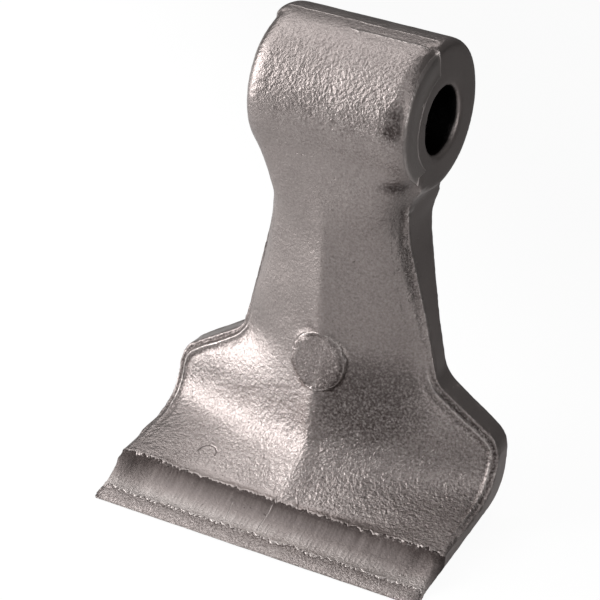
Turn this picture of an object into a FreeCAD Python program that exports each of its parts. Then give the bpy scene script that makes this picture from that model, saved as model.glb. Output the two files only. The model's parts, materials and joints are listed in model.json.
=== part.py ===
import FreeCAD, Part
import math
import os

# Flail mower hammer, a single forging.
# Frame: origin at the centre of the hanger bore, X along the bore, Z up, and the
# working edge reaching forward, towards -Y. All lengths are in millimetres.

# Hanger boss
bore_diameter = 20.5
boss_radius = 22.8
boss_half_length = 26.8
boss_forward = 0.8
boss_rise = 1.5
boss_edge_radius = 2.5
barrel_end_radius = 4.5
barrel_end_inset = 0.35
boss_round_steps = 3
boss_split_y = -2.7
bore_land = 5.2

# Plan outline, seen from the front: half widths, and drops below the bore
neck_half_width = 22.7
neck_top_drop = 23.0
neck_drop = 36.0
foot_half_width = 33.4
foot_drop = 79.9
blade_half_width = 55.2
shoulder_drop = 93.6
ear_radius = 4.0
neck_top_radius = 8.0
neck_radius = 50.0
foot_radius = 7.0
shoulder_radius = 9.0
lip_corner_radius = 3.0

# Back face, seen from the side
back_neck_y = 7.6
back_neck_drop = 31.0
back_waist_y = -0.9
back_waist_drop = 63.0
heel_y = -7.2
heel_drop = 113.2
back_neck_radius = 40.0
back_waist_radius = 60.0
heel_radius = 12.0

# Cutting lip
blade_reach = 47.5
channel_reach = blade_reach + 9.0
lip_edge_reach = channel_reach + 4.8
lip_reach = lip_edge_reach + 4.1
lip_drop = 119.2
lip_thickness = 3.5
lip_nose = 1.5
lip_radius = 0.7

# Parting line of the two dies, seen from the side
parting_boss_y = -14.2
parting_waist_y = -10.8
parting_waist_drop = 42.0
parting_calf_drop = 62.0
instep_y = -14.8
instep_drop = 109.2
parting_blend_radius = 60.0
instep_radius = 15.0
blade_thickness = 5.2
blade_end_radius = 4.0

# Crest of the middle rib, seen from the side
throat_y = -22.2
throat_drop = 16.0
crest_neck_y = -22.8
crest_neck_drop = 37.0
crest_waist_y = -24.6
crest_waist_drop = 66.0
crest_knee_y = -31.0
crest_knee_drop = 100.9
crest_toe_rise = 0.1
crest_toe_setback = 2.5
crest_neck_radius = 25.0
crest_waist_radius = 60.0
crest_knee_radius = 13.0
crest_toe_radius = 8.0

# How full the rib is: shares of its height at places across its half width, each
# under the boss, on the flat-topped shank and on the blade
full_rib_height = 9.0
ridge_place = 0.08
ridge_shares = (1.0, 0.965, 0.915)
top_place = 0.28
top_shares = (0.99, 0.85, 0.74)
flank_place = 0.58
flank_shares = (0.95, 0.67, 0.46)

# Trimmed edge: the ledge, the rim inside it and the dish behind the rim
trim_ledge = 0.8
ledge_width = 3.0
rim_inset = 1.8
rim_heights = (3.0, 3.0, 0.7)
dish_inset = 4.0
dish_heights = (7.0, 5.5, 1.3)

# Channel along the lip
channel_radius = 10.5
channel_floor = 2.0
channel_end_margin = 4.0

# Round ejector pad on the rib
pad_diameter = 18.0
pad_drop = 75.3
pad_tilt = 10.0
pad_sink = 0.5

guide_overrun = 2.0
calf_drop = 80.0
sections_above_calf = 8
sections_below_calf = 11
clear = 40.0

X_AXIS = FreeCAD.Vector(1, 0, 0)


def direction(start, end):
    """Unit step from one 2-D point to another."""
    length = math.hypot(end[0] - start[0], end[1] - start[1])
    return ((end[0] - start[0]) / length, (end[1] - start[1]) / length)


def rounded_line(corners, place):
    """Wire through corners (a, b, radius), with an arc at each inner corner."""
    edges = []
    start = place(corners[0][0], corners[0][1])
    for before, corner, after in zip(corners, corners[1:], corners[2:]):
        into = direction(before, corner)
        out = direction(corner, after)
        turn = math.acos(into[0] * out[0] + into[1] * out[1])
        if corner[2] == 0:
            last = place(corner[0], corner[1])
            edges.append(Part.LineSegment(start, last).toShape())
            start = last
            continue
        reach = corner[2] * math.tan(turn / 2)
        depth = corner[2] * (1 / math.cos(turn / 2) - 1)
        inward = direction((0, 0), (out[0] - into[0], out[1] - into[1]))
        first = place(corner[0] - into[0] * reach, corner[1] - into[1] * reach)
        last = place(corner[0] + out[0] * reach, corner[1] + out[1] * reach)
        middle = place(corner[0] + inward[0] * depth, corner[1] + inward[1] * depth)
        edges.append(Part.LineSegment(start, first).toShape())
        edges.append(Part.Arc(first, middle, last).toShape())
        start = last
    edges.append(Part.LineSegment(start, place(corners[-1][0], corners[-1][1])).toShape())
    return Part.Wire(edges)


def closed(wire):
    """The wire with a straight edge from its end to its start, as a face."""
    points = [wire.OrderedVertexes[-1].Point, wire.OrderedVertexes[0].Point]
    return Part.Face(Part.Wire(wire.Edges + [Part.LineSegment(*points).toShape()]))


def on_front(x, z):
    return FreeCAD.Vector(x, clear, z)


def on_side(y, z):
    return FreeCAD.Vector(-blade_half_width - clear, y, z)


def on_top(x, y):
    return FreeCAD.Vector(x, y, -lip_drop - clear)


def mirrored(corners):
    """The corners from end to end of a symmetric outline, given its right half."""
    return corners + [(-a, b, radius) for a, b, radius in reversed(corners)]


def plan_face():
    """Trimmed outline of the shank and blade, seen from the front."""
    right = [
        (boss_half_length, 0.0, 0.0),
        (boss_half_length, ear_radius * 1.5 - neck_top_drop, ear_radius),
        (neck_half_width, -neck_top_drop, neck_top_radius),
        (neck_half_width, -neck_drop, neck_radius),
        (foot_half_width, -foot_drop, foot_radius),
        (blade_half_width, -shoulder_drop, shoulder_radius),
        (blade_half_width, -lip_drop - clear / 4, 0.0),
    ]
    return closed(rounded_line(mirrored(right), on_front))


def back_corners():
    """Back face of the shank, round the heel and along the underside to the lip."""
    return [
        (back_neck_y, 0.0, 0.0),
        (back_neck_y, -back_neck_drop, back_neck_radius),
        (back_waist_y, -back_waist_drop, back_waist_radius),
        (heel_y, -heel_drop, heel_radius),
        (-lip_reach, -lip_drop, 0.0),
    ]


def parting_corners():
    """Parting line, down the shank, round the instep and out to the lip."""
    underside = (lip_drop - heel_drop) / (lip_reach + heel_y)
    blade_end = lip_drop - underside * (lip_reach - blade_reach) - blade_thickness
    return [
        (parting_boss_y, 0.0, 0.0),
        (parting_waist_y, -parting_waist_drop, parting_blend_radius),
        (parting_waist_y, -parting_calf_drop, parting_blend_radius),
        (instep_y, -instep_drop, instep_radius),
        (-blade_reach, -blade_end, blade_end_radius),
        (-channel_reach - guide_overrun, lip_thickness - lip_drop, blade_end_radius),
        (-lip_reach - guide_overrun, lip_thickness - lip_drop, 0.0),
    ]


def crest_corners():
    """Crest of the middle rib, from the throat under the boss to the lip."""
    toe = parting_corners()[4]
    return [
        (throat_y, 0.0, 0.0),
        (throat_y, -throat_drop, crest_neck_radius / 2),
        (crest_neck_y, -crest_neck_drop, crest_neck_radius),
        (crest_waist_y, -crest_waist_drop, crest_waist_radius),
        (crest_knee_y, -crest_knee_drop, crest_knee_radius),
        (toe[0] + crest_toe_setback, toe[1] + crest_toe_rise, crest_toe_radius),
        (-channel_reach - guide_overrun, lip_thickness - lip_drop, blade_end_radius),
        (-lip_reach - guide_overrun, lip_thickness - lip_drop, 0.0),
    ]


def guide_points(corners):
    """Points down a side line, in step with the other lines at the calf."""
    for upper, lower in zip(corners, corners[1:]):
        if -upper[1] < calf_drop < -lower[1]:
            share = (calf_drop + upper[1]) / (upper[1] - lower[1])
            calf = (upper[0] + (lower[0] - upper[0]) * share, -calf_drop, 0.0)
            place = corners.index(lower)
    above = rounded_line(corners[:place] + [calf], on_side).discretize(sections_above_calf)
    below = rounded_line([calf] + corners[place:], on_side).discretize(sections_below_calf)
    return above[:-1] + below


def half_width(plan, drop):
    """Half width of the plan outline at a drop below the bore."""
    line = Part.makeLine(on_front(0.0, -drop), on_front(blade_half_width + clear, -drop))
    return max(vertex.X for vertex in line.common(plan).Vertexes)


def blend(values, drop):
    """Value at a drop, going smoothly from the throat to the waist to the shoulder."""
    throat, waist, shoulder = values
    low, high = waist, shoulder
    start, end = parting_waist_drop, shoulder_drop
    if drop < parting_waist_drop:
        low, high = throat, waist
        start, end = throat_drop, parting_waist_drop
    share = min(max((drop - start) / (end - start), 0.0), 1.0)
    return low + (high - low) * share * share * (3 - 2 * share)


def rib_section(parting, crest, outward, width, drop):
    """One cross-section of the front: across the rib and out past both edges."""
    rise = crest - parting
    strength = min(rise.Length / full_rib_height, 1.0)
    rim = outward * (strength * blend(rim_heights, drop))
    across = [
        (width + rim_inset, rim * -1.0),
        (width - rim_inset, rim),
        (width - dish_inset, outward * (strength * blend(dish_heights, drop))),
        (width * flank_place, rise * blend(flank_shares, drop)),
        (width * top_place, rise * blend(top_shares, drop)),
        (width * ridge_place, rise * blend(ridge_shares, drop)),
    ]
    right = [(x, parting + offset) for x, offset in across]
    points = [FreeCAD.Vector(x, p.y, p.z) for x, p in right]
    points.append(FreeCAD.Vector(0, crest.y, crest.z))
    points.extend(FreeCAD.Vector(-x, p.y, p.z) for x, p in reversed(right))
    curve = Part.BSplineCurve()
    curve.interpolate(Points=points)
    return curve.toShape(), points[0], points[-1]


def front_form(plan):
    """Solid behind the front surface: rib, dished flanks and lip, lofted down."""
    guides = [guide_points(line) for line in (back_corners(), parting_corners(), crest_corners())]
    sections = []
    for back, parting, crest in zip(*guides):
        drop = min(-parting.z, lip_drop)
        width = half_width(plan, min(drop, lip_drop))
        behind = FreeCAD.Vector(0, back.y - parting.y, back.z - parting.z).normalize() * clear
        outward = behind * (-1.0 / clear)
        front, right, left = rib_section(parting, crest, outward, width, drop)
        edges = [
            front,
            Part.makeLine(left, left + behind),
            Part.makeLine(left + behind, right + behind),
            Part.makeLine(right + behind, right),
        ]
        sections.append(Part.Wire(edges))
    return Part.makeLoft(sections, True, False)


def along_x(face):
    """The side face drawn at the left end, swept across the whole width."""
    return face.extrude(X_AXIS * (2 * (blade_half_width + clear)))


def along_y(face):
    """The front face drawn behind the hammer, swept forward through it."""
    return face.extrude(FreeCAD.Vector(0, -2 * clear - lip_reach, 0))


def side_profile():
    """Outline from the side: the back, the underside and the bevelled lip."""
    lip_top = lip_thickness - lip_drop
    front = [
        (-lip_reach, -lip_drop, lip_radius),
        (-lip_reach, lip_nose - lip_drop, lip_radius / 2),
        (-lip_edge_reach, lip_top, 0.0),
        (-lip_edge_reach, 0.0, 0.0),
    ]
    return along_x(closed(rounded_line(back_corners()[:-1] + front, on_side)))


def behind_parting():
    """Everything behind the parting line."""
    back = [(clear, -lip_drop - clear, 0.0), (clear, 0.0, 0.0)]
    front = parting_corners()
    low = [(front[-1][0], -lip_drop - clear, 0.0)]
    return along_x(closed(rounded_line(front + low + back, on_side)))


def lip_corners():
    """Outline from above, round at the two ends of the lip."""
    right = [
        (blade_half_width + clear, clear, 0.0),
        (blade_half_width, clear - 1.0, 0.0),
        (blade_half_width, -lip_reach, lip_corner_radius),
    ]
    face = closed(rounded_line(mirrored(right), on_top))
    return face.extrude(FreeCAD.Vector(0, 0, lip_drop + clear + boss_radius))


def envelope(plan):
    """Outer limits of the shank and blade, from the front, the side and above."""
    return along_y(plan).common(side_profile()).common(lip_corners())


def shank_and_blade():
    plan = plan_face()
    inner = plan.makeOffset2D(-trim_ledge)
    ledge_inside = plan.makeOffset2D(-ledge_width)
    ledge = along_y(plan.cut(ledge_inside)).common(behind_parting())
    body = front_form(plan).common(along_y(inner)).fuse(ledge)
    return body.common(envelope(plan))


def channel():
    """Round-ended channel cutter that leaves its floor above the underside."""
    underside = (lip_drop - heel_drop) / (lip_reach + heel_y)
    floor = -lip_drop + underside * (lip_reach - channel_reach) + channel_floor
    depth = lip_thickness - lip_drop - floor
    footprint = math.sqrt(channel_radius ** 2 - (channel_radius - abs(depth)) ** 2)
    half = blade_half_width - channel_end_margin - footprint
    axis = FreeCAD.Vector(-half, -channel_reach, floor + channel_radius)
    cutter = Part.makeCylinder(channel_radius, 2 * half, axis, X_AXIS)
    for end in (axis, axis + X_AXIS * (2 * half)):
        cutter = cutter.fuse(Part.makeSphere(channel_radius, end))
    return cutter


def round_ended_barrel(half, end_radius):
    """Solid barrel along X whose ends are rounded off in short conical steps."""
    right = [(half, 0.0)]
    for step in range(boss_round_steps + 1):
        angle = math.radians(90.0 * step / boss_round_steps)
        x = half - end_radius * (1 - math.cos(angle))
        right.append((x, boss_radius - end_radius * (1 - math.sin(angle))))
    outline = right + [(-x, radius) for x, radius in reversed(right)]
    points = [FreeCAD.Vector(x, -boss_forward, boss_rise + radius) for x, radius in outline]
    profile = Part.Face(Part.makePolygon(points + points[:1]))
    return profile.revolve(FreeCAD.Vector(0, -boss_forward, boss_rise), X_AXIS, 360)


def boss():
    """Hanger boss: round-ended barrel in front, full-width flat ends behind."""
    barrel = round_ended_barrel(boss_half_length - barrel_end_inset, barrel_end_radius)
    full = round_ended_barrel(boss_half_length, boss_edge_radius)
    land = Part.makeCylinder(bore_diameter / 2 + bore_land, 2 * boss_half_length,
                             -X_AXIS * boss_half_length, X_AXIS)
    width = 2 * boss_half_length
    corner = FreeCAD.Vector(-boss_half_length, boss_split_y, -2 * boss_radius)
    rear = Part.makeBox(width, 2 * boss_radius, 4 * boss_radius, corner)
    rear = full.common(rear.fuse(behind_parting().fuse(land)))
    return barrel.fuse(rear)


def pad_cylinders():
    """The round pad: what it fills behind its face and what it clears in front."""
    down = (pad_drop - crest_waist_drop) / (crest_knee_drop - crest_waist_drop)
    y = crest_waist_y + (crest_knee_y - crest_waist_y) * down + pad_sink
    tilt = math.radians(pad_tilt)
    normal = FreeCAD.Vector(0, -math.cos(tilt), math.sin(tilt))
    centre = FreeCAD.Vector(0, y, -pad_drop)
    filled = Part.makeCylinder(pad_diameter / 2, pad_diameter / 2, centre, -normal)
    cleared = Part.makeCylinder(pad_diameter / 2, pad_diameter / 2, centre, normal)
    return filled, cleared


def hammer():
    filled, cleared = pad_cylinders()
    body = shank_and_blade().fuse(filled).cut(cleared)
    body = body.cut(channel()).fuse(boss())
    start = -X_AXIS * (boss_half_length + clear)
    bore = Part.makeCylinder(bore_diameter / 2, 2 * (boss_half_length + clear), start, X_AXIS)
    return body.cut(bore).removeSplitter()


os.makedirs("parts", exist_ok=True)
forging = hammer()
box = forging.BoundBox
print("solids", len(forging.Solids), "valid", forging.isValid(), "volume", round(forging.Volume))
print("size", round(box.XLength, 2), round(box.YLength, 2), round(box.ZLength, 2))
forging.exportStep("parts/hammer_forging.step")
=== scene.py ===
# %% [markdown]
# # A flail mower hammer, dressed for a studio picture
# The part is one steel forging: a barrel with a cross bore at the top, a shank that
# narrows below it, and a wide blade that ends in a scooped cutting lip. The solid
# from the CAD model is the frame. Here it gets the skin that a shot-blasted forging
# has: soft edges, a trimmed flash line, pits, and a dull warm grey metal.

# %% Load the frame
import json
import math
import bpy
import numpy as np
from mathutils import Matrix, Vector, kdtree, noise


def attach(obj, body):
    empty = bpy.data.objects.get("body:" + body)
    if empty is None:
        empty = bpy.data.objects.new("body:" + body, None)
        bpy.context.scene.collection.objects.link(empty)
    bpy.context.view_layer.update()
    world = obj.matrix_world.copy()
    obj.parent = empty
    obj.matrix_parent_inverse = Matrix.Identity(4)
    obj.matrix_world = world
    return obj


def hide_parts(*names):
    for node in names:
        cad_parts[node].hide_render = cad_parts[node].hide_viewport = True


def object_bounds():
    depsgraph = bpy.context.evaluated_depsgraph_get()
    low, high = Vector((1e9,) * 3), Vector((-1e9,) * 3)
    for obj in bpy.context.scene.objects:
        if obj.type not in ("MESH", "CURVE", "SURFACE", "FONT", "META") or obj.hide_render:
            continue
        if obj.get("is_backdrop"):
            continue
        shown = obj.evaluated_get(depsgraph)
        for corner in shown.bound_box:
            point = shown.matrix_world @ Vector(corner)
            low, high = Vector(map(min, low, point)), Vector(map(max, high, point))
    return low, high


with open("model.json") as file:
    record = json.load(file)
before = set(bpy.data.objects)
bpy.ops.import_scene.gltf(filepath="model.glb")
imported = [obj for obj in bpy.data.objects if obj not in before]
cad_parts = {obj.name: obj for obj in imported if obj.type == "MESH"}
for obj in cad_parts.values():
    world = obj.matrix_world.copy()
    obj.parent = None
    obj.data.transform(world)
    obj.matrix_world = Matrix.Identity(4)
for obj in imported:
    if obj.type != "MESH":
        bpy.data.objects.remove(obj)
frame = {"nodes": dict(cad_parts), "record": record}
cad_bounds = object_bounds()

mm = 0.001
node = frame["nodes"]["hammer_forging"]
print("frame node", node.name, "with", len(node.data.vertices), "vertices")

# %% [markdown]
# ## Sizes that the finish follows
# The marks of forging sit on features of the solid: the bore, the round pad, the
# channel and the lip. The bore's sizes come from the frame's record, and the others
# are real sizes in millimetres. x runs along the bore, y to the back and z up, all
# from the middle of the bore. A pair of numbers says where something fades in or out.

# %% Sizes of the forging, in millimetres
bore = frame["record"]["mounts"][0]["dims"]
bore_radius = bore["r_mm"]
boss_half_length = bore["length_mm"] / 2
boss_split = -2.7
split_ring = 15.4
upper_flash = 0.6
lower_flash = -4.3
pad_height = -75.3
pad_radius = 9.0
pad_tilt = math.radians(10.0)
channel_top = 47.3
channel_reach = 56.5
channel_end = 50.5
lip_edge_reach = 61.3
lip_drop = 1.2
wall_draft = math.radians(5.0)
back_round = 2.6
print("bore radius", bore_radius, "mm, boss half length", boss_half_length, "mm")

# %% Where features fade, in millimetres below, above or in front of the bore
rim_start = (20.0, 24.0)
rim_end = (108.0, 112.5)
rim_front = (38.0, 46.0)
blade_start = (72.0, 84.0)
crown_start = (19.0, 22.0)
lower_flash_start = (-3.0, 1.0)
print("the rim runs from", rim_start[0], "to", rim_end[1], "mm below the bore")

# %% [markdown]
# ## The forged skin
# The real hammer has no crisp edge anywhere: hot steel doesn't fill the corners of a
# die. A CAD solid has crisp edges and long thin facets, which can't carry pits or soft
# corners, and subdividing them only gives more thin facets. A copy of it is therefore
# merged and voxel remeshed, which lays an even grid of small quads over the whole
# surface, closed and ready to be shaped.

# %% Copy, merge and remesh the solid
grid_size = 1.08 * mm
merge_distance = 0.001 * mm


def select_only(*objects):
    """Deselects everything, then selects these and makes the first one active."""
    bpy.ops.object.select_all(action="DESELECT")
    for item in objects:
        item.select_set(True)
    bpy.context.view_layer.objects.active = objects[0]


def copy_of_node(source, name):
    """An unparented copy of a CAD node with its loose triangles merged."""
    copy = source.copy()
    copy.data = source.data.copy()
    copy.parent = None
    copy.name = name
    for key in list(copy.keys()):
        del copy[key]
    bpy.context.scene.collection.objects.link(copy)
    select_only(copy)
    bpy.ops.object.mode_set(mode="EDIT")
    bpy.ops.mesh.select_all(action="SELECT")
    bpy.ops.mesh.remove_doubles(threshold=merge_distance)
    bpy.ops.object.mode_set(mode="OBJECT")
    return copy


def apply_modifier(target, kind, **settings):
    """Adds one modifier with these settings and applies it straight away."""
    select_only(target)
    modifier = target.modifiers.new(kind.title(), kind)
    for key, value in settings.items():
        setattr(modifier, key, value)
    bpy.ops.object.modifier_apply(modifier=modifier.name)


skin = copy_of_node(node, "forged_skin")
apply_modifier(skin, "REMESH", mode="VOXEL", voxel_size=grid_size)
print("skin has", len(skin.data.vertices), "vertices")

# %% [markdown]
# ## Where things are on the skin
# The marks of forging follow a few lines: the trimmed outline seen from the front,
# the parting line and the back seen from the side. Each vertex gets its distance to
# these lines, in millimetres, and every later step is a smooth function of them. That
# is steadier than picking faces by hand, because it still holds when a size changes.

# %% Read and write vertices, and soft steps between values
def read_points(mesh):
    """Vertex positions in millimetres, one row each."""
    points = np.zeros(len(mesh.vertices) * 3)
    mesh.vertices.foreach_get("co", points)
    return points.reshape(-1, 3) / mm


def write_points(mesh, points):
    mesh.vertices.foreach_set("co", (points * mm).ravel())
    mesh.update()


def read_normals(mesh):
    normals = np.zeros(len(mesh.vertices) * 3)
    mesh.vertices.foreach_get("normal", normals)
    return normals.reshape(-1, 3)


def face_centres(mesh):
    centres = np.zeros(len(mesh.polygons) * 3)
    mesh.polygons.foreach_get("center", centres)
    return centres.reshape(-1, 3) / mm


def smooth_step(values, start, end):
    """0 up to start and 1 from end on, with a soft step between."""
    share = np.clip((values - start) / (end - start), 0.0, 1.0)
    return share * share * (3 - 2 * share)


def fade(values, start, end):
    """1 up to start and 0 from end on, with a soft step between."""
    return 1 - smooth_step(values, start, end)


def near(values, centre, width):
    """A soft bump, 1 at the centre and about 0 at one and a half widths from it."""
    return np.exp(-((values - centre) / (0.6 * width)) ** 2)


print("lowest vertex at", round(read_points(skin.data)[:, 2].min(), 1), "mm")

# %% The parting line and the back, seen from the side
def rounded_line(corners):
    """Points along straight runs with an arc at each inner corner (a, b, radius)."""
    places = np.array([corner[:2] for corner in corners], float)
    radii = [corner[2] for corner in corners[1:]]
    line = [places[0]]
    for before, corner, after, radius in zip(places, places[1:], places[2:], radii):
        into = (corner - before) / np.linalg.norm(corner - before)
        out = (after - corner) / np.linalg.norm(after - corner)
        turn = math.acos(np.clip(into @ out, -1.0, 1.0))
        reach = radius * math.tan(turn / 2)
        inward = (out - into) / np.linalg.norm(out - into)
        centre = corner + inward * radius / math.cos(turn / 2)
        first, last = corner - into * reach, corner + out * reach
        for share in np.linspace(0.0, 1.0, 9):
            spoke = (first - centre) * (1 - share) + (last - centre) * share
            line.append(centre + spoke / np.linalg.norm(spoke) * radius)
    line.append(places[-1])
    return np.array(line)


parting_line = rounded_line([
    (-14.2, 0.0, 0.0), (-10.8, -42.0, 60.0), (-10.8, -62.0, 60.0),
    (-14.8, -109.2, 15.0), (-47.5, -112.1, 4.0), (-58.5, -115.7, 4.0), (-67.5, -115.7, 0.0),
])
back_line = rounded_line([
    (7.6, 0.0, 0.0), (7.6, -31.0, 40.0), (-0.9, -63.0, 60.0), (-7.2, -113.2, 12.0),
    (-65.4, -119.2, 0.0),
])
print("parting line and back line have", len(parting_line), "and", len(back_line), "points")

# %% Distances to a line
def dense(line, step=0.3):
    """Points every step along a line, with the unit tangent at each."""
    parts = np.diff(line, axis=0)
    lengths = np.hypot(parts[:, 0], parts[:, 1])
    along = np.concatenate([[0.0], np.cumsum(lengths)])
    at = np.arange(0.0, along[-1], step)
    points = np.stack([np.interp(at, along, line[:, k]) for k in (0, 1)], 1)
    tangents = np.gradient(points, axis=0)
    tangents /= np.linalg.norm(tangents, axis=1)[:, None]
    return points, tangents


def to_line(points, line):
    """Signed distance to a line, positive on its left, and the unit normal there."""
    samples, tangents = dense(line)
    tree = kdtree.KDTree(len(samples))
    for index, (a, b) in enumerate(samples.tolist()):
        tree.insert((a, b, 0.0), index)
    tree.balance()
    nearest = np.array([tree.find((a, b, 0.0))[1] for a, b in points.tolist()])
    gap = points - samples[nearest]
    normal = np.stack([-tangents[nearest, 1], tangents[nearest, 0]], 1)
    side = np.where((gap * normal).sum(1) < 0, -1.0, 1.0)
    return side * np.linalg.norm(gap, axis=1), normal


bore_middle = np.zeros((1, 2))
to_bore = to_line(bore_middle, parting_line)[0][0]
print("the bore's middle is", round(to_bore, 1), "mm behind the parting line")

# %% The trimmed outline, measured off the skin
slice_height = 0.6
outline_top, outline_bottom = -16.0, -118.5


def measured_outline(points):
    """The trimmed outline's right half, from top to bottom, softened over 5 slices."""
    heights = np.arange(outline_top, outline_bottom, -slice_height)
    widths = [np.abs(points[np.abs(points[:, 2] - z) < slice_height, 0]).max() for z in heights]
    widths = np.convolve(np.pad(widths, 2, mode="edge"), np.ones(5) / 5, mode="valid")
    return np.stack([widths, heights], 1)


def side_distances(points):
    """Depth behind the parting line, depth in front of the back, and its normal."""
    behind = to_line(points[:, 1:], parting_line)[0]
    depth, back_normal = to_line(points[:, 1:], back_line)
    return behind, -depth, back_normal


def plan_distance(points, outline):
    """How far inside the trimmed outline each vertex is, and the way outwards."""
    right = np.stack([np.abs(points[:, 0]), points[:, 2]], 1)
    inside, normal = to_line(right, outline)
    side = np.where(points[:, 0] < 0, -1.0, 1.0)
    return -inside, np.stack([side * normal[:, 0], normal[:, 1]], 1)


def pad_radius_at(points):
    """Distance from the axis of the round pad, in the plane of its face."""
    down = (points[:, 2] - pad_height) / math.cos(pad_tilt)
    return np.hypot(points[:, 0], down)


outline = measured_outline(read_points(skin.data))
print("widest at", round(outline[:, 0].max(), 1), "mm from the middle")

# %% [markdown]
# ## Small faces where the fine marks are
# Flash lines and the ragged edges of the channel are under a millimetre wide. A finer
# grid all over would be heavy, so only the faces near those marks are divided again.

# %% Divide the faces near the fine marks
def has_fine_marks(mesh):
    centres = face_centres(mesh)
    inside = plan_distance(centres, outline)[0]
    behind = side_distances(centres)[0]
    x, y, z = centres.T
    rim = (inside < 6.0) & (behind < 1.0) & (z < -22.0) & (z > -112.0)
    pad_ring = (np.abs(pad_radius_at(centres) - pad_radius) < 2.0) & (y < -18.0)
    channel_and_lip = (z < -108.0) & (y < -44.0) & (behind < 2.5)
    crown = (z > 21.0) & (y < 2.5) & (y > -7.0)
    boss_face = (np.abs(x) > 25.0) & (y < 0.0) & (np.hypot(y, z) > 13.0)
    return rim | pad_ring | channel_and_lip | crown | boss_face


select_only(skin)
chosen = has_fine_marks(skin.data)
bpy.ops.object.mode_set(mode="EDIT")
bpy.ops.mesh.select_all(action="DESELECT")
bpy.ops.object.mode_set(mode="OBJECT")
skin.data.polygons.foreach_set("select", chosen)
bpy.ops.object.mode_set(mode="EDIT")
bpy.ops.mesh.select_mode(type="FACE")
bpy.ops.mesh.subdivide(number_cuts=1, quadcorner="INNERVERT")
bpy.ops.object.mode_set(mode="OBJECT")
print("after dividing", chosen.sum(), "faces:", len(skin.data.vertices), "vertices")

# %% [markdown]
# ## Draft and soft back edges
# A forging has to leave its dies, so its side walls lean in towards the back by a few
# degrees, and the edge between wall and back is round. Each vertex near the edge of
# the outline moves in by its depth behind the parting line, and each one near the
# corner moves onto an arc of the edge's radius. A Bevel modifier would need a clean
# edge to follow, which a voxel mesh doesn't have.

# %% Lean the walls
points = read_points(skin.data)
inside, outwards = plan_distance(points, outline)
behind, depth, back_normal = side_distances(points)
below_boss = smooth_step(-points[:, 2], 24.0, 34.0)
lean = math.tan(wall_draft) * np.clip(behind, 0.0, 40.0)
lean *= below_boss * fade(inside, 1.0, 8.0)
points[:, 0] -= outwards[:, 0] * lean
points[:, 2] -= outwards[:, 1] * lean
print("draft moves vertices by up to", round(lean.max(), 2), "mm")

# %% Round the back edges
radius = back_round * below_boss * (1 - 0.6 * smooth_step(-points[:, 1], 25.0, 50.0))
radius = np.maximum(radius, 0.01)
across = np.clip(inside, 0.0, None)
deep = np.clip(depth, 0.0, None)
corner = (across < radius) & (deep < radius) & (below_boss > 0.0)
angle = math.pi / 4 * (1 + (deep - across) / radius)
move_in = radius * (1 - np.sin(angle)) - across
move_front = radius * (1 - np.cos(angle)) - deep
move_in[~corner] = 0.0
move_front[~corner] = 0.0
points[:, 0] -= outwards[:, 0] * move_in
points[:, 2] -= outwards[:, 1] * move_in
points[:, 1:] -= back_normal * move_front[:, None]
write_points(skin.data, points)
print("rounded", corner.sum(), "vertices at the back edges")

# %% [markdown]
# ## The neck, the flanks and the channel
# Hot metal flows, so the barrel runs into the shank without a crease, the flanks are
# one soft hollow each, and the channel is smooth where the die pushed it out. A
# Smooth modifier relaxes the vertices of a weight group in each of these places.

# %% Weights for the places to smooth
def add_weights(target, name, weights):
    """A vertex group with these weights, in 20 steps so that few calls are needed."""
    group = target.vertex_groups.new(name=name)
    steps = np.round(weights * 20).astype(int)
    for step in range(1, 21):
        members = np.nonzero(steps == step)[0]
        if len(members):
            group.add(members.tolist(), step / 20, "REPLACE")


points = read_points(skin.data)
upward = read_normals(skin.data)[:, 2]
x, y, z = points.T
inside = plan_distance(points, outline)[0]
behind = side_distances(points)[0]

neck = smooth_step(-y, 8.0, 13.0) * smooth_step(z, -26.0, -18.0) * fade(z, -1.0, 5.0)
neck *= fade(np.abs(x), 23.0, 26.0)
end_gap = np.hypot(np.abs(x) - channel_end, y + channel_reach)
channel_ends = fade(end_gap, 6.0, 9.0) * (z < -108.0) * fade(-y, 60.0, 62.0)
channel = (z < -106.0) * (upward > -0.3) * smooth_step(-y, 50.5, 53.0)
channel *= fade(-y, 63.4, 64.8)
flanks = smooth_step(inside, 4.0, 8.0) * smooth_step(-behind, 1.0, 4.0)
flanks *= smooth_step(-z, 76.0, 82.0) * fade(-z, 103.0, 107.0)
flanks *= smooth_step(np.abs(x), 4.0, 8.0) * smooth_step(pad_radius_at(points), 10.0, 13.0)
print("weights cover", sum((w > 0.5).sum() for w in (neck, channel, flanks)), "vertices")

# %% Smooth each place, then the whole skin a little
for name, weights, rounds in (
        ("neck", neck, 40), ("channel_ends", channel_ends, 14),
        ("channel", channel, 140), ("flanks", flanks, 160)):
    add_weights(skin, name, weights)
    apply_modifier(skin, "SMOOTH", factor=0.5, iterations=rounds, vertex_group=name)
apply_modifier(skin, "SMOOTH", factor=0.5, iterations=2)
skin.vertex_groups.clear()
print("smoothed", len(skin.data.vertices), "vertices")

# %% Lower the lip, which the dies left a little hollow
points = read_points(skin.data)
upward = read_normals(skin.data)[:, 2]
lip_top = np.maximum(smooth_step(upward, 0.0, 0.5), smooth_step(points[:, 2], -119.0, -115.6))
lip_top *= (points[:, 2] < -106.0) * (upward > -0.3) * smooth_step(-points[:, 1], 53.5, 59.0)
points[:, 2] -= lip_drop * lip_top
write_points(skin.data, points)
print("the lip is lowered at", (lip_top > 0.5).sum(), "vertices")

# %% [markdown]
# ## Marks of forging and trimming
# Flash is squeezed out between the dies and trimmed off, which leaves a bright thin
# line with a torn recess inside it. A second flash line crosses the top of the
# barrel. The ejector pin leaves a round pad, and the lip below the channel is rough.
# These could be sculpted by hand. Here they are heights, in millimetres, added along
# each vertex's normal, so that they repeat exactly. Marks finer than the mesh follow
# in the material.

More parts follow.
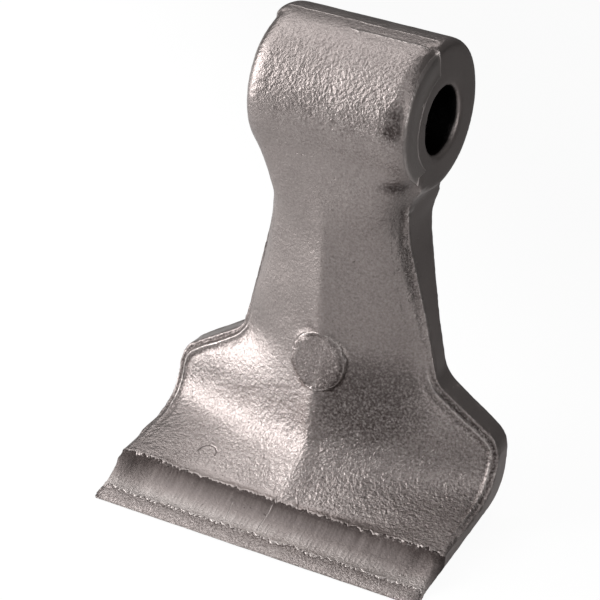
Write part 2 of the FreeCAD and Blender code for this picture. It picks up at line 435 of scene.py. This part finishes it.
# %% Noise helpers
def noise_at(points, size, seed=0.0):
    """Smooth noise from about -1 to 1, with blobs of this size in millimetres."""
    offset = Vector((seed, seed * 1.7, -seed))
    scale = 1.0 / size
    return np.array([noise.noise(Vector(p) * scale + offset) for p in points.tolist()])


def noise_along(values, size, seed=0.0):
    """Noise along one coordinate."""
    grid = np.arange(values.min() - size, values.max() + size, size / 8)
    heights = [noise.noise(Vector((g / size, seed, 2.3 * seed))) for g in grid.tolist()]
    return np.interp(values, grid, heights)


points = read_points(skin.data)
normals = read_normals(skin.data)
x, y, z = points.T
inside = plan_distance(points, outline)[0]
behind = side_distances(points)[0]
height = np.zeros(len(points))
soot_and_shade = np.zeros(len(points))
print("heights start at zero for", len(points), "vertices")

# %% The trimmed edge
blade = smooth_step(-z, *blade_start)
edge = inside + 0.25 * noise_at(points, 7.0, 3.0)
along_rim = smooth_step(-behind, -0.6, 0.4) * smooth_step(-z, *rim_start)
along_rim *= fade(-z, *rim_end) * fade(-y, *rim_front)
flash_ridge = 0.18 * near(edge, 0.2, 0.6)
torn_recess = (0.12 + 0.28 * blade) * near(edge, 1.3, 0.9)
second_ridge = 0.30 * blade * near(edge, 2.4, 0.8)
inner_hollow = 0.30 * blade * near(edge, 3.7, 1.3)
height += along_rim * (flash_ridge - torn_recess + second_ridge - inner_hollow)
print("the trimmed edge touches", (along_rim * near(edge, 0.0, 2.0) > 0.5).sum(), "vertices")

# %% Flash lines over the barrel and round the bore
crown = smooth_step(z, *crown_start)
crown *= smooth_step(boss_half_length - 2.5 - np.abs(x), -1.5, 0.5)
height += 0.12 * near(y, upper_flash, 0.7) * crown
height += 0.15 * near(y, lower_flash, 0.7) * crown * smooth_step(x, *lower_flash_start)

boss_face = smooth_step(np.abs(x), 24.6, 25.8) * smooth_step(z, -18.5, -17.0)
bore_gap = np.hypot(y, z)
low_side = smooth_step(-z, 8.0, 12.0)
split = np.maximum(y - boss_split, split_ring - bore_gap)
split = np.maximum(split, (behind + 0.6) * low_side - 30.0 * (1 - low_side))
height += 0.14 * near(split, 0.0, 0.6) * boss_face
print("the boss faces hold", (boss_face > 0.5).sum(), "vertices")

# %% The ring of the round pad
proud_side = math.radians(140.0)
ring = pad_radius_at(points)
ring_angle = np.arctan2(z - pad_height, x)
proud = 0.5 - 0.5 * np.cos(ring_angle - proud_side)
on_rib = smooth_step(-y, 16.0, 19.0)
height += on_rib * near(ring, pad_radius - 0.1, 0.8) * 0.06
height -= on_rib * near(ring, pad_radius + 0.9, 0.8) * 0.04 * proud
height -= on_rib * near(ring, pad_radius - 1.0, 0.8) * 0.06 * (1 - proud)
print("the pad's face holds", (on_rib * (ring < pad_radius) > 0.5).sum(), "vertices")

# %% Dents, each with its centre, size, depth and darkness
dents = (
    ((22.6, -22.0, 10.0), 2.2, 0.6, 0.8), ((22.0, -23.2, 5.0), 2.5, 0.7, 1.0),
    ((21.5, -20.0, -14.5), 2.2, 0.5, 0.9), ((24.5, -18.0, -15.5), 2.1, 0.4, 1.0),
    ((-3.5, -24.0, -66.0), 2.6, 0.0, 0.6), ((18.5, -20.6, -14.0), 1.8, 0.2, 0.4),
    ((5.4, -23.6, -65.5), 1.2, -0.35, 0.0), ((34.5, -60.5, -115.5), 1.2, 0.4, 0.6),
    ((37.0, -61.5, -115.5), 1.1, 0.4, 0.6), ((42.5, -61.0, -115.5), 1.3, 0.4, 0.5),
)
# The three dents under the barrel's lower right corner are darkened as painted shade under the barrel;
# the darkness of the others is scale.
for centre, size, deep, dark in dents:
    gap = np.linalg.norm(points - np.array(centre), axis=1)
    spot = np.exp(-(gap / size) ** 2)
    height -= deep * spot
    soot_and_shade += dark * spot
print(len(dents), "dents")

# %% The channel's upper edge and the rough lip
lip_zone = smooth_step(-z, 108.0, 110.0) * smooth_step(-y, 44.0, 45.5)
lip_zone *= normals[:, 2] > -0.2
over = 2.0 - lip_edge_reach + 0.8 * noise_along(x, 7.0, 9.0) - y
under = 0.6 * noise_along(x, 3.0, 13.0) - channel_top - y
height -= lip_zone * 0.20 * smooth_step(over, 0.0, 1.0)
height += lip_zone * 0.25 * near(under, -0.4, 1.2) * (0.6 + 0.8 * noise_along(x, 2.0, 15.0))
print("the rough lip holds", (lip_zone * over > 0.5).sum(), "vertices")

# %% Where the grain is coarse, and the slow waves of the surface
bore_wall = (np.hypot(y, z) < bore_radius + 0.65) * fade(np.abs(x), 25.4, 26.4)
groove = lip_zone * fade(over, -0.6, 0.0) * smooth_step(under, 0.2, 1.2)
side_wall = fade(-behind, -1.0, 0.3) * smooth_step(-z, 18.0, 24.0)
boss_end = smooth_step(np.abs(x), 23.5, 26.0) * fade(-z, 16.0, 22.0)
boss_front = fade(-z, 4.0, 18.0) * smooth_step(-y, 3.0, 14.0)
grain = 0.52 + 0.48 * smooth_step(-z, 74.0, 96.0)
grain = np.maximum(grain, 0.74 * boss_front)
for quiet, share in ((groove, 0.85), (side_wall, 0.85), (boss_end, 0.8)):
    grain *= 1 - share * quiet
grain = np.clip(grain, 0.05, 1.0)
height += 0.07 * grain * noise_at(points, 2.6, 21.0) + 0.09 * noise_at(points, 9.0, 23.0)
write_points(skin.data, points + normals * height[:, None])
print("marks reach from", round(height.min(), 2), "to", round(height.max(), 2), "mm")

# %% [markdown]
# ## Masks for the material
# The material needs to know how far each point is from the trimmed edge, the parting
# line and the split of the barrel. These are kept as attributes of the mesh, with the
# coarseness of the grain and the dark scale and painted shade of the dents, so that the
# fine lines drawn from them in the shader stay sharper than the mesh.

# %% Store the attributes
def store(name, values):
    attribute = skin.data.attributes.new(name, "FLOAT", "POINT")
    attribute.data.foreach_set("value", np.asarray(values, np.float32))


far_away = 9.0
store("grain", grain)
store("soot_and_shade", np.clip(soot_and_shade, 0.0, 1.0))
store("bore", bore_wall)
store("edge", np.clip(inside, -3.0, 30.0))
store("behind", np.clip(behind, -30.0, 30.0))
store("split", np.clip(split * boss_face + far_away * (1 - boss_face), -far_away, far_away))
select_only(skin)
bpy.ops.object.shade_smooth()
print("skin has", sum(len(p.vertices) - 2 for p in skin.data.polygons), "triangles")

# %% [markdown]
# ## Writing shaders as arithmetic
# The marks below take hundreds of small nodes, too many to place by hand and still
# follow. A small wrapper lets a shader socket be added and multiplied like a number,
# so each mark reads as a formula. One method adds every kind of node.

# %% Shader values
class Value:
    """A shader socket that can be used in Python arithmetic."""

    def __init__(self, socket, nodes):
        self.socket = socket
        self.nodes = nodes

    def math(self, operation, *inputs):
        return self.nodes.add("ShaderNodeMath", {"operation": operation}, *inputs)[0]

    def __add__(self, other):
        return self.math("ADD", self, other)

    def __radd__(self, other):
        return self.math("ADD", other, self)

    def __sub__(self, other):
        return self.math("SUBTRACT", self, other)

    def __rsub__(self, other):
        return self.math("SUBTRACT", other, self)

    def __mul__(self, other):
        return self.math("MULTIPLY", self, other)

    def __rmul__(self, other):
        return self.math("MULTIPLY", other, self)

    def __truediv__(self, other):
        return self.math("DIVIDE", self, other)

    def __neg__(self):
        return self.math("SUBTRACT", 0.0, self)

    def __abs__(self):
        return self.math("ABSOLUTE", self)

    def root(self):
        return self.math("SQRT", self)

    def sine(self):
        return self.math("SINE", self)

    def clamped(self, low=0.0, high=1.0):
        return self.math("MAXIMUM", self.math("MINIMUM", self, high), low)

    def rise(self, start, end):
        """0 up to start and 1 from end on, with a soft step between."""
        return self.nodes.add("ShaderNodeMapRange", {"interpolation_type": "SMOOTHSTEP"},
                              self, start, end, 0.0, 1.0)[0]

    def fall(self, start, end):
        """1 up to start and 0 from end on, with a soft step between."""
        return 1.0 - self.rise(start, end)

    def line(self, centre, width):
        """1 where the value is at the centre, 0 when it is a width away."""
        return abs(self - centre).fall(0.0, width)


print("a shader value can be used as a number")

# %% Adding nodes
class Nodes:
    """Adds nodes to one node tree: settings first, then values or links."""

    def __init__(self, tree):
        self.tree = tree
        tree.nodes.clear()

    def add(self, kind, settings=None, *inputs, **named):
        made = self.tree.nodes.new(kind)
        for key, value in (settings or {}).items():
            setattr(made, key, value)
        pairs = list(enumerate(inputs))
        pairs += [(key.replace("_", " "), value) for key, value in named.items()]
        for key, value in pairs:
            if isinstance(value, Value):
                self.tree.links.new(value.socket, made.inputs[key])
            elif value is not None:
                made.inputs[key].default_value = value
        return [Value(socket, self) for socket in made.outputs if socket.enabled]


print("any node can be added with its settings and inputs")

# %% The steel's material and its coordinates
object_output = 3
number_output = 2


def new_material(name):
    made = bpy.data.materials.new(name)
    made.use_nodes = True
    return made, Nodes(made.node_tree)


forged_steel, steel_nodes = new_material("forged steel")
place = steel_nodes.add("ShaderNodeTexCoord")[object_output]
x_mm, y_mm, z_mm = [axis * (1.0 / mm) for axis in steel_nodes.add("ShaderNodeSeparateXYZ", None, place)]
below_mm = -z_mm
front_mm = -y_mm
print("shader coordinates ready on", forged_steel.name)

# %% Masks, noise and mixing
def mask(name):
    """An attribute of the mesh as a number."""
    return steel_nodes.add("ShaderNodeAttribute", {"attribute_name": name})[number_output]


def grit(size, detail=2.0, roughness=0.5, distortion=0.0, where=place):
    """Noise from 0 to 1 with features of this size in millimetres."""
    return steel_nodes.add("ShaderNodeTexNoise", None, Vector=where, Scale=1.0 / (size * mm),
                           Detail=detail, Roughness=roughness, Distortion=distortion)[0]


def shake(size, reach):
    """Noise of this reach in all, from minus to plus half of it."""
    return (grit(size) - 0.5) * reach


def wander(value, size, reach, shift=0.0):
    """Noise of this reach in all along one coordinate in millimetres."""
    made = steel_nodes.add("ShaderNodeTexNoise", {"noise_dimensions": "1D"},
                           W=value + shift, Scale=1.0 / size, Detail=1.0)[0]
    return (made - 0.5) * reach


def total(*marks):
    """The sum of (mask, strength) pairs."""
    mark, strength = marks[0]
    result = mark * strength
    for mark, strength in marks[1:]:
        result = result + mark * strength
    return result


def mix_colour(nodes, factor, first, second):
    """Colour between two colours, each a socket or a plain value."""
    number_inputs = [None] * 5
    return nodes.add("ShaderNodeMix", {"data_type": "RGBA"},
                     factor, *number_inputs, first, second)[-1]


edge_mm = mask("edge") + shake(7.0, 0.8) + shake(1.6, 0.35)
print("masks and noise ready")

# %% [markdown]
# ## Fine marks in the shader
# Trimming, blasting and handling leave lines, tears and scratches finer than any
# sensible mesh. They could be painted, but formulas on the part's own coordinates
# stay sharp from any distance. Each mark is a mask from 0 to 1. Bright ones are worn
# or freshly cut metal, dark ones hold scale, and many also raise or lower the bump.
# Some of the bright and dark ones are painted light and shade, as said where they are.

# %% Lines of the trimmed edge
blade_zone = below_mm.rise(*blade_start)
rim_zone = mask("behind").fall(-0.4, 0.6) * below_mm.rise(*rim_start)
rim_zone = rim_zone * below_mm.fall(*rim_end) * front_mm.fall(*rim_front)
shank_zone = rim_zone * (1.0 - blade_zone)
fine_edge = mask("edge") + shake(1.6, 0.3)
trim_line = fine_edge.line(0.1, 0.5) * rim_zone
rim_line = edge_mm.line(2.4, 0.5) * rim_zone * blade_zone
# The trench is a recess in the relief, darkened by scale and partly by painted shade; the rim shade
# further in on the blade is a band of painted shade over the hollow there.
trench = edge_mm.line(1.25, 0.8) * rim_zone * (0.2 + 0.75 * blade_zone)
rim_shade = edge_mm.line(3.5, 1.1) * rim_zone * blade_zone
left_sliver = fine_edge.line(0.5, 1.2) * x_mm.fall(-5.0, 0.0) * rim_zone
left_sliver = left_sliver * below_mm.fall(64.0, 72.0) * below_mm.rise(34.0, 42.0)
left_sliver = left_sliver * grit(2.5).rise(0.35, 0.55)
print("the trimmed edge has four lines and a sliver")

# %% The hooked line under the barrel's right corner, and darker patches above it
hook_top = (26.7, -16.6)
hook_lean = math.radians(25.35)
hook_length = 10.7
hook_x, hook_z = x_mm - hook_top[0], z_mm - hook_top[1]
hook_off = hook_x * math.cos(hook_lean) - hook_z * math.sin(hook_lean)
hook_along = hook_x * math.sin(hook_lean) + hook_z * math.cos(hook_lean)
hook_line = hook_off.line(0.0, 0.45) * abs(front_mm - 12.4).fall(2.0, 4.0)
hook_line = hook_line * hook_along.rise(-hook_length - 0.5, -hook_length + 0.5)
hook_line = hook_line * hook_along.fall(-0.5, 0.5)
# Patchy darkening across the front of the barrel, about 5 mm above the bore's axis.
barrel_dark_patches = z_mm.line(5.0, 6.5) * front_mm.rise(16.0, 20.0) * grit(4.5).rise(0.48, 0.6)
print("the hooked line is", hook_length, "mm long")

# %% Torn marks beside the shank's edge
tear_stretch = (0.55, 0.55, 2.2)
across_tears = steel_nodes.add("ShaderNodeVectorMath", {"operation": "MULTIPLY"},
                               place, tear_stretch)[0]
torn = grit(1.1, 2.0, 0.6, 0.4, across_tears)
tears_end = (46.0, 66.0)
tear_zone = shank_zone * edge_mm.rise(0.3, 0.6) * edge_mm.fall(1.2, 2.4)
tear_zone = tear_zone * below_mm.fall(*tears_end)
tears = tear_zone * (0.25 + 0.75 * torn.rise(0.46, 0.58))
band_width = 2.8 + (below_mm - 24.0).clamped(0.0, 30.0) * 0.05
band_line = (edge_mm - band_width).line(0.2, 0.35) * shank_zone * below_mm.fall(50.0, 66.0)
band_line = band_line * grit(2.0).rise(0.4, 0.55)
print("tears fade out", tears_end[1], "mm below the bore")

# %% Flash lines of the barrel
crown_zone = z_mm.rise(*crown_start) * abs(x_mm).fall(23.0, 25.0)
upper_line = (y_mm + wander(x_mm, 5.0, 1.0)).line(upper_flash, 0.4) * crown_zone
upper_line = upper_line * wander(x_mm, 7.0, 1.0, 30.0).rise(-0.2, 0.0)
lower_line = (y_mm + wander(x_mm, 4.0, 0.9, 60.0)).line(lower_flash, 0.45)
lower_line = lower_line * crown_zone * x_mm.rise(*lower_flash_start)
flash_band = y_mm.rise(lower_flash, lower_flash + 0.6) * y_mm.fall(0.0, 0.8) * crown_zone
split_mm = mask("split")
split_line = (split_mm + wander(z_mm + y_mm, 4.0, 0.5, 20.0)).line(0.0, 0.4)
print("flash lines at", upper_flash, "and", lower_flash, "mm from the bore's axis")

# %% The pad's ring
pad_down = (z_mm - pad_height) / math.cos(pad_tilt)
ring_mm = (x_mm * x_mm + pad_down * pad_down).root()
rough_ring = ring_mm + shake(3.0, 0.9)
pad_zone = front_mm.rise(17.0, 20.0)
pad_line = rough_ring.line(pad_radius, 0.42) * pad_zone
# Painted shade: a dark ring just inside the edge of the pad, where its face sits lower.
pad_shade = rough_ring.line(pad_radius - 0.9, 0.7) * pad_zone
pad_face = ring_mm.fall(pad_radius - 0.6, pad_radius) * pad_zone
print("the pad's ring is", 2 * pad_radius, "mm across")

# %% The channel's ragged edges
lobe_width = 1.9
lip_low = below_mm.rise(108.5, 110.0)
lobe_turn = x_mm * (math.pi / lobe_width) + wander(x_mm, 6.0, 9.0, 7.0)
burr_reach = lip_edge_reach - 2.2 + 0.9 * abs(lobe_turn.sine()) + wander(x_mm, 7.0, 2.2, 90.0)
over_mm = front_mm - burr_reach + shake(0.9, 0.8)
rough_lip = over_mm.rise(-0.1, 0.25) * lip_low
# The burr mask below raises the lobed burr in the relief and is also painted light over a band about 5
# mm wide at the channel's lower part; the burr's shadow just past its lobes is painted shade.
burr_and_sheen = over_mm.rise(-5.5, -0.5) * over_mm.fall(-0.15, 0.15) * lip_low
burr_shadow = over_mm.line(0.45, 0.5) * lip_low * grit(1.8).rise(0.42, 0.6)
ragged_reach = channel_top + wander(x_mm, 2.4, 2.2, 5.0) + wander(x_mm, 0.9, 1.2, 15.0)
under_mm = front_mm - ragged_reach
ragged_rim = under_mm.line(-0.5, 0.6) * lip_low
# Painted shade: the groove shade fades down from the channel's ragged upper edge.
groove_shade = under_mm.rise(-0.15, 0.15) * under_mm.fall(0.0, 8.5) * lip_low
scoop = under_mm.rise(0.0, 0.4) * over_mm.fall(-0.3, 0.1) * lip_low
scoop_ends = scoop * abs(x_mm).rise(41.0, 47.0)
print("the channel runs from", channel_top, "to", lip_edge_reach, "mm in front of the bore")

# %% Scratches across the channel and a curved one on the left flank
def scratch(start, end, width):
    """A straight scratch over the channel, from (x, y) at one end to the other."""
    lean = (end[0] - start[0]) / (end[1] - start[1])
    along = y_mm.rise(end[1], end[1] + 1.0) * y_mm.fall(start[1] - 1.0, start[1])
    return (x_mm - (y_mm - start[1]) * lean).line(start[0], width) * along * lip_low


scratches = scratch((-1.7, -48.3), (-1.9, -60.2), 0.28)
scratches = scratches + scratch((-13.9, -51.0), (-12.8, -57.5), 0.22)
arc_centre = (-30.8, -38.6)
arc_radius = 3.0
arc_x, arc_y = x_mm - arc_centre[0], y_mm - arc_centre[1]
arc_line = (arc_x * arc_x + arc_y * arc_y).root().line(arc_radius, 0.35)
arc_line = arc_line * y_mm.rise(arc_centre[1] - 0.6, arc_centre[1] + 0.4) * below_mm.rise(100.0, 104.0)
print("two scratches and an arc of radius", arc_radius, "mm")

# %% [markdown]
# ## Relief and colour of the steel
# Shot blasting hammers the scale off hot-forged steel and leaves a fine peened grain,
# coarser on the blade and the barrel than on the shank. One noise makes the relief,
# and a finer one flecks the colour, because blasted dimples hold some dark scale. The
# metal is one warm grey that turns dark where scale stays and bright where it is worn,
# and also dark and bright where shade and light are painted into it.

# %% Grain and relief
bump_height = 0.38 * mm
right_side = (x_mm.rise(-6.0, 8.0) + pad_face).clamped()
boss_zone = z_mm.rise(-20.0, -12.0)
grain_share = mask("grain") * (0.8 + 0.2 * right_side) * (1.0 - 0.08 * boss_zone)
peel = grit(0.95, 3.0, 0.6)
lip_peel = grit(0.8, 3.0, 0.7)
pits = grit(1.5).rise(0.70, 0.78)
grain_relief = total((peel, 1.25), (grit(2.4), 0.8)) * (grain_share + pad_face * 0.1)
scoop_relief = (peel * 0.3 + lip_peel * (scoop_ends + burr_and_sheen * 0.5)) * scoop
relief = grain_relief + scoop_relief + total(
    (lip_peel * rough_lip, 0.9), (burr_and_sheen, 0.2), (trim_line, 0.35), (rim_line, 0.3),
    (upper_line, 0.3), (lower_line, 0.35), (split_line, 0.35), (hook_line, 0.4),
    (pad_line, 0.35), (ragged_rim, 0.15), (pits, -0.25), (trench, -0.5), (tears, -0.4),
    (scratches, -0.15), (arc_line, -0.4), (burr_shadow, -0.25),
)
bump = steel_nodes.add("ShaderNodeBump", None, Height=relief, Strength=1.0,
                       Distance=bump_height)[0]
print("relief is", bump_height / mm, "mm high")

# %% Bright and dark marks
darkest = 0.92
hollow_centre = (16.0, -85.0)
cloud = grit(16.0, 3.0, 0.6)
bore_shade = mask("bore")
fleck_share = grain_share * (0.5 + 0.1 * right_side * (1.0 - boss_zone)) + rough_lip * 0.5
flecks = (grit(0.7, 1.0) - 0.5) * 3.0 * fleck_share
# Painted highlight: the front part of each end face of the barrel is lightened, as the light that a
# rounder corner there would catch.
end_front_highlight = abs(x_mm).rise(24.0, 26.0) * split_mm.fall(-0.6, -0.1)
end_front_highlight = end_front_highlight * z_mm.rise(-20.0, -14.0) * (1.0 - bore_shade)
# Painted shade: a soft dark patch over the hollow of the right flank.
hollow_x, hollow_z = x_mm - hollow_centre[0], z_mm - hollow_centre[1]
hollow_shade = (hollow_x * hollow_x * 0.6 + hollow_z * hollow_z).fall(20.0, 330.0)
hollow_shade = hollow_shade * x_mm.rise(0.0, 4.0) * front_mm.rise(12.0, 16.0)
hollow_shade = hollow_shade * mask("edge").rise(2.0, 7.0)

bright_marks = total(
    (trim_line, 0.8), (rim_line, 0.6), (upper_line, 0.5), (lower_line, 0.55),
    (split_line, 0.65), (hook_line, 0.7), (pad_line, 0.45), (burr_and_sheen, 0.8),
    (ragged_rim, 0.15), (scratches, 0.45), (end_front_highlight, 0.55),
).clamped()
bright_marks = (bright_marks + flecks).clamped()
dark_marks = total(
    (mask("soot_and_shade"), 1.0), (trench, 0.8), (rim_shade, 0.4), (tears, 0.33), (band_line, 0.3),
    (flash_band, 0.2), (pad_shade, 0.25), (pad_face, 0.12), (burr_shadow, 0.35),
    (groove_shade, 0.8), (pits, 0.35), (arc_line, 0.3),
).clamped(0.0, darkest)
# Painted shade: the whole channel and, more strongly, its ends are darkened here, and so is the hollow
# of the right flank.
dark_marks = dark_marks + total(
    (scoop, 0.13), (scoop_ends, 0.06), (hollow_shade, 0.55), (left_sliver, 0.8), (barrel_dark_patches, 0.3),
)
dark_marks = (dark_marks - flecks).clamped(0.0, darkest)
print("marks mixed on", len(forged_steel.node_tree.nodes), "nodes")

# %% Colour and gloss of the steel
steel = (0.42, 0.37, 0.355, 1.0)
dull_steel = (0.31, 0.27, 0.26, 1.0)
# Dark marks, painted shade among them, take the near black below; bright marks, painted highlights
# among them, take the lighter grey.
scale_and_shade_black = (0.07, 0.055, 0.052, 1.0)
worn_and_lit_steel = (0.60, 0.55, 0.53, 1.0)
# Painted shade: the inside of the bore is coloured near black.
bore_shade_black = (0.012, 0.011, 0.011, 1.0)
colour = mix_colour(steel_nodes, cloud, dull_steel, steel)
colour = mix_colour(steel_nodes, dark_marks, colour, scale_and_shade_black)
colour = mix_colour(steel_nodes, bright_marks, colour, worn_and_lit_steel)
colour = mix_colour(steel_nodes, bore_shade, colour, bore_shade_black)

shank_middle = below_mm.fall(64.0, 74.0) * below_mm.rise(14.0, 26.0)
roughness = 0.36 + total(
    (bright_marks, -0.06), (dark_marks, 0.12), (cloud - 0.5, 0.12),
    (scoop, 0.1), (scoop_ends, 0.12), (shank_middle, 0.05),
)
surface = steel_nodes.add(
    "ShaderNodeBsdfPrincipled", None,
    Base_Color=colour, Metallic=1.0, Roughness=roughness, Normal=bump,
)[0]
steel_nodes.add("ShaderNodeOutputMaterial", None, surface)
skin.data.materials.clear()
skin.data.materials.append(forged_steel)
print("steel uses", len(forged_steel.node_tree.nodes), "nodes")

# %% The skin rides on the part's one body and stands for its one node
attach(skin, "root")
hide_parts("hammer_forging")
print(skin.name, "replaces", node.name)

# %% [markdown]
# ## The studio
# A small part is photographed on a white sweep with soft boxes. The main one stands to
# the left at the part's own height, with weaker ones above, in front and behind. Bare
# metal shows what it reflects, so the floor glows white for the camera alone and is
# darker behind the part, where it would brighten the right flank.

# %% Floor
white = (1.0, 1.0, 1.0, 1.0)
pale_floor = (0.8, 0.8, 0.8, 1.0)
shaded_floor = (0.22, 0.22, 0.22, 1.0)
floor_glow = 1.05
floor_level = cad_bounds[0].z
bpy.ops.object.select_all(action="DESELECT")
bpy.ops.mesh.primitive_plane_add(size=8.0, location=(0.0, 0.0, floor_level))
floor = bpy.context.object
floor.name = "studio_floor"
floor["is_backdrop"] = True
floor_material, floor_nodes = new_material("studio floor")
camera_ray = floor_nodes.add("ShaderNodeLightPath")[0]
floor_place = floor_nodes.add("ShaderNodeTexCoord")[object_output]
across, deep_in, _ = floor_nodes.add("ShaderNodeSeparateXYZ", None, floor_place)
# Painted shade: the floor's colour is darker behind and to the right of the part, so the right flank
# reflects less light.
behind_right = (across * 0.6 + deep_in * 0.8).rise(0.0, 0.14)
floor_colour = mix_colour(floor_nodes, behind_right, pale_floor, shaded_floor)
matt = floor_nodes.add("ShaderNodeBsdfDiffuse", None, floor_colour)[0]
glow = floor_nodes.add("ShaderNodeEmission", None, white, floor_glow)[0]
mixed = floor_nodes.add("ShaderNodeMixShader", None, camera_ray * 0.9, matt, glow)[0]
floor_nodes.add("ShaderNodeOutputMaterial", None, mixed)
floor.data.materials.append(floor_material)
print("floor at", round(floor_level / mm, 1), "mm")

# %% World
room_strength = 0.125
world = bpy.data.worlds.new("studio")
bpy.context.scene.world = world
world.use_nodes = True
world_nodes = Nodes(world.node_tree)
camera_ray = world_nodes.add("ShaderNodeLightPath")[0]
room = world_nodes.add("ShaderNodeBackground", None, white, room_strength)[0]
backdrop = world_nodes.add("ShaderNodeBackground", None, white, 1.0)[0]
mixed = world_nodes.add("ShaderNodeMixShader", None, camera_ray, room, backdrop)[0]
world_nodes.add("ShaderNodeOutputWorld", None, mixed)
print("the room lights the part at", room_strength)

# %% Soft boxes
lamp_aim = Vector((0.0, -0.02, -0.05))
lamp_distance = 1.0
soft_boxes = (
    ("key_lamp", -64.0, 13.0, (0.6, 0.8), 9.8),
    ("upper_lamp", -88.0, 52.0, (0.9, 0.5), 3.1),
    ("front_lamp", 32.0, 52.0, (0.6, 0.6), 1.4),
    ("side_lamp", 68.0, 14.0, (0.5, 0.5), 1.5),
    ("back_lamp", -160.0, 55.0, (0.8, 0.6), 1.8),
)


def add_soft_box(name, azimuth, elevation, size, power):
    """A lamp aimed at the forging from this direction, in degrees, metres and watts."""
    turn, rise = math.radians(azimuth), math.radians(elevation)
    flat = math.cos(rise)
    back = Vector((math.sin(turn) * flat, -math.cos(turn) * flat, math.sin(rise)))
    bpy.ops.object.select_all(action="DESELECT")
    bpy.ops.object.light_add(type="AREA", location=lamp_aim + back * lamp_distance)
    lamp = bpy.context.object
    lamp.name = name
    lamp.data.shape = "RECTANGLE"
    lamp.data.size, lamp.data.size_y = size
    lamp.data.energy = power
    lamp.rotation_mode = "QUATERNION"
    lamp.rotation_quaternion = (-back).to_track_quat("-Z", "Y")


for box in soft_boxes:
    add_soft_box(*box)
print(len(soft_boxes), "soft boxes")

# %% [markdown]
# ## The camera
# The picture is taken with a long lens from a little above and to the right, so that
# the front, the right end of the barrel and the side wall all show. The eye and the
# gaze were fitted to the bore's ellipse and the lip, so they aren't round numbers.

# %% Camera
eye = Vector((0.36289, -0.66645, 0.38788))
gaze = Vector((-0.42747, 0.74326, -0.51462))
bpy.ops.object.select_all(action="DESELECT")
bpy.ops.object.camera_add(location=eye)
camera = bpy.context.object
camera.rotation_mode = "QUATERNION"
camera.rotation_quaternion = gaze.to_track_quat("-Z", "Y")
camera.data.lens = 177.0
camera.data.sensor_width = 36.0
camera.data.clip_end = 20.0
bpy.context.scene.camera = camera
bpy.context.scene.view_settings.view_transform = "Standard"
print("camera", round(eye.length, 2), "m from the bore")

# %% [markdown]
# ## Sizes
# The box of the dressed part is put beside that of the plain solid, and the dressed
# part's lowest point is printed.

# %% Sizes
boxes = [[list(corner) for corner in box] for box in (cad_bounds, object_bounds())]
print("visual model's lowest point at", round(boxes[1][0][2] / mm, 1), "mm")
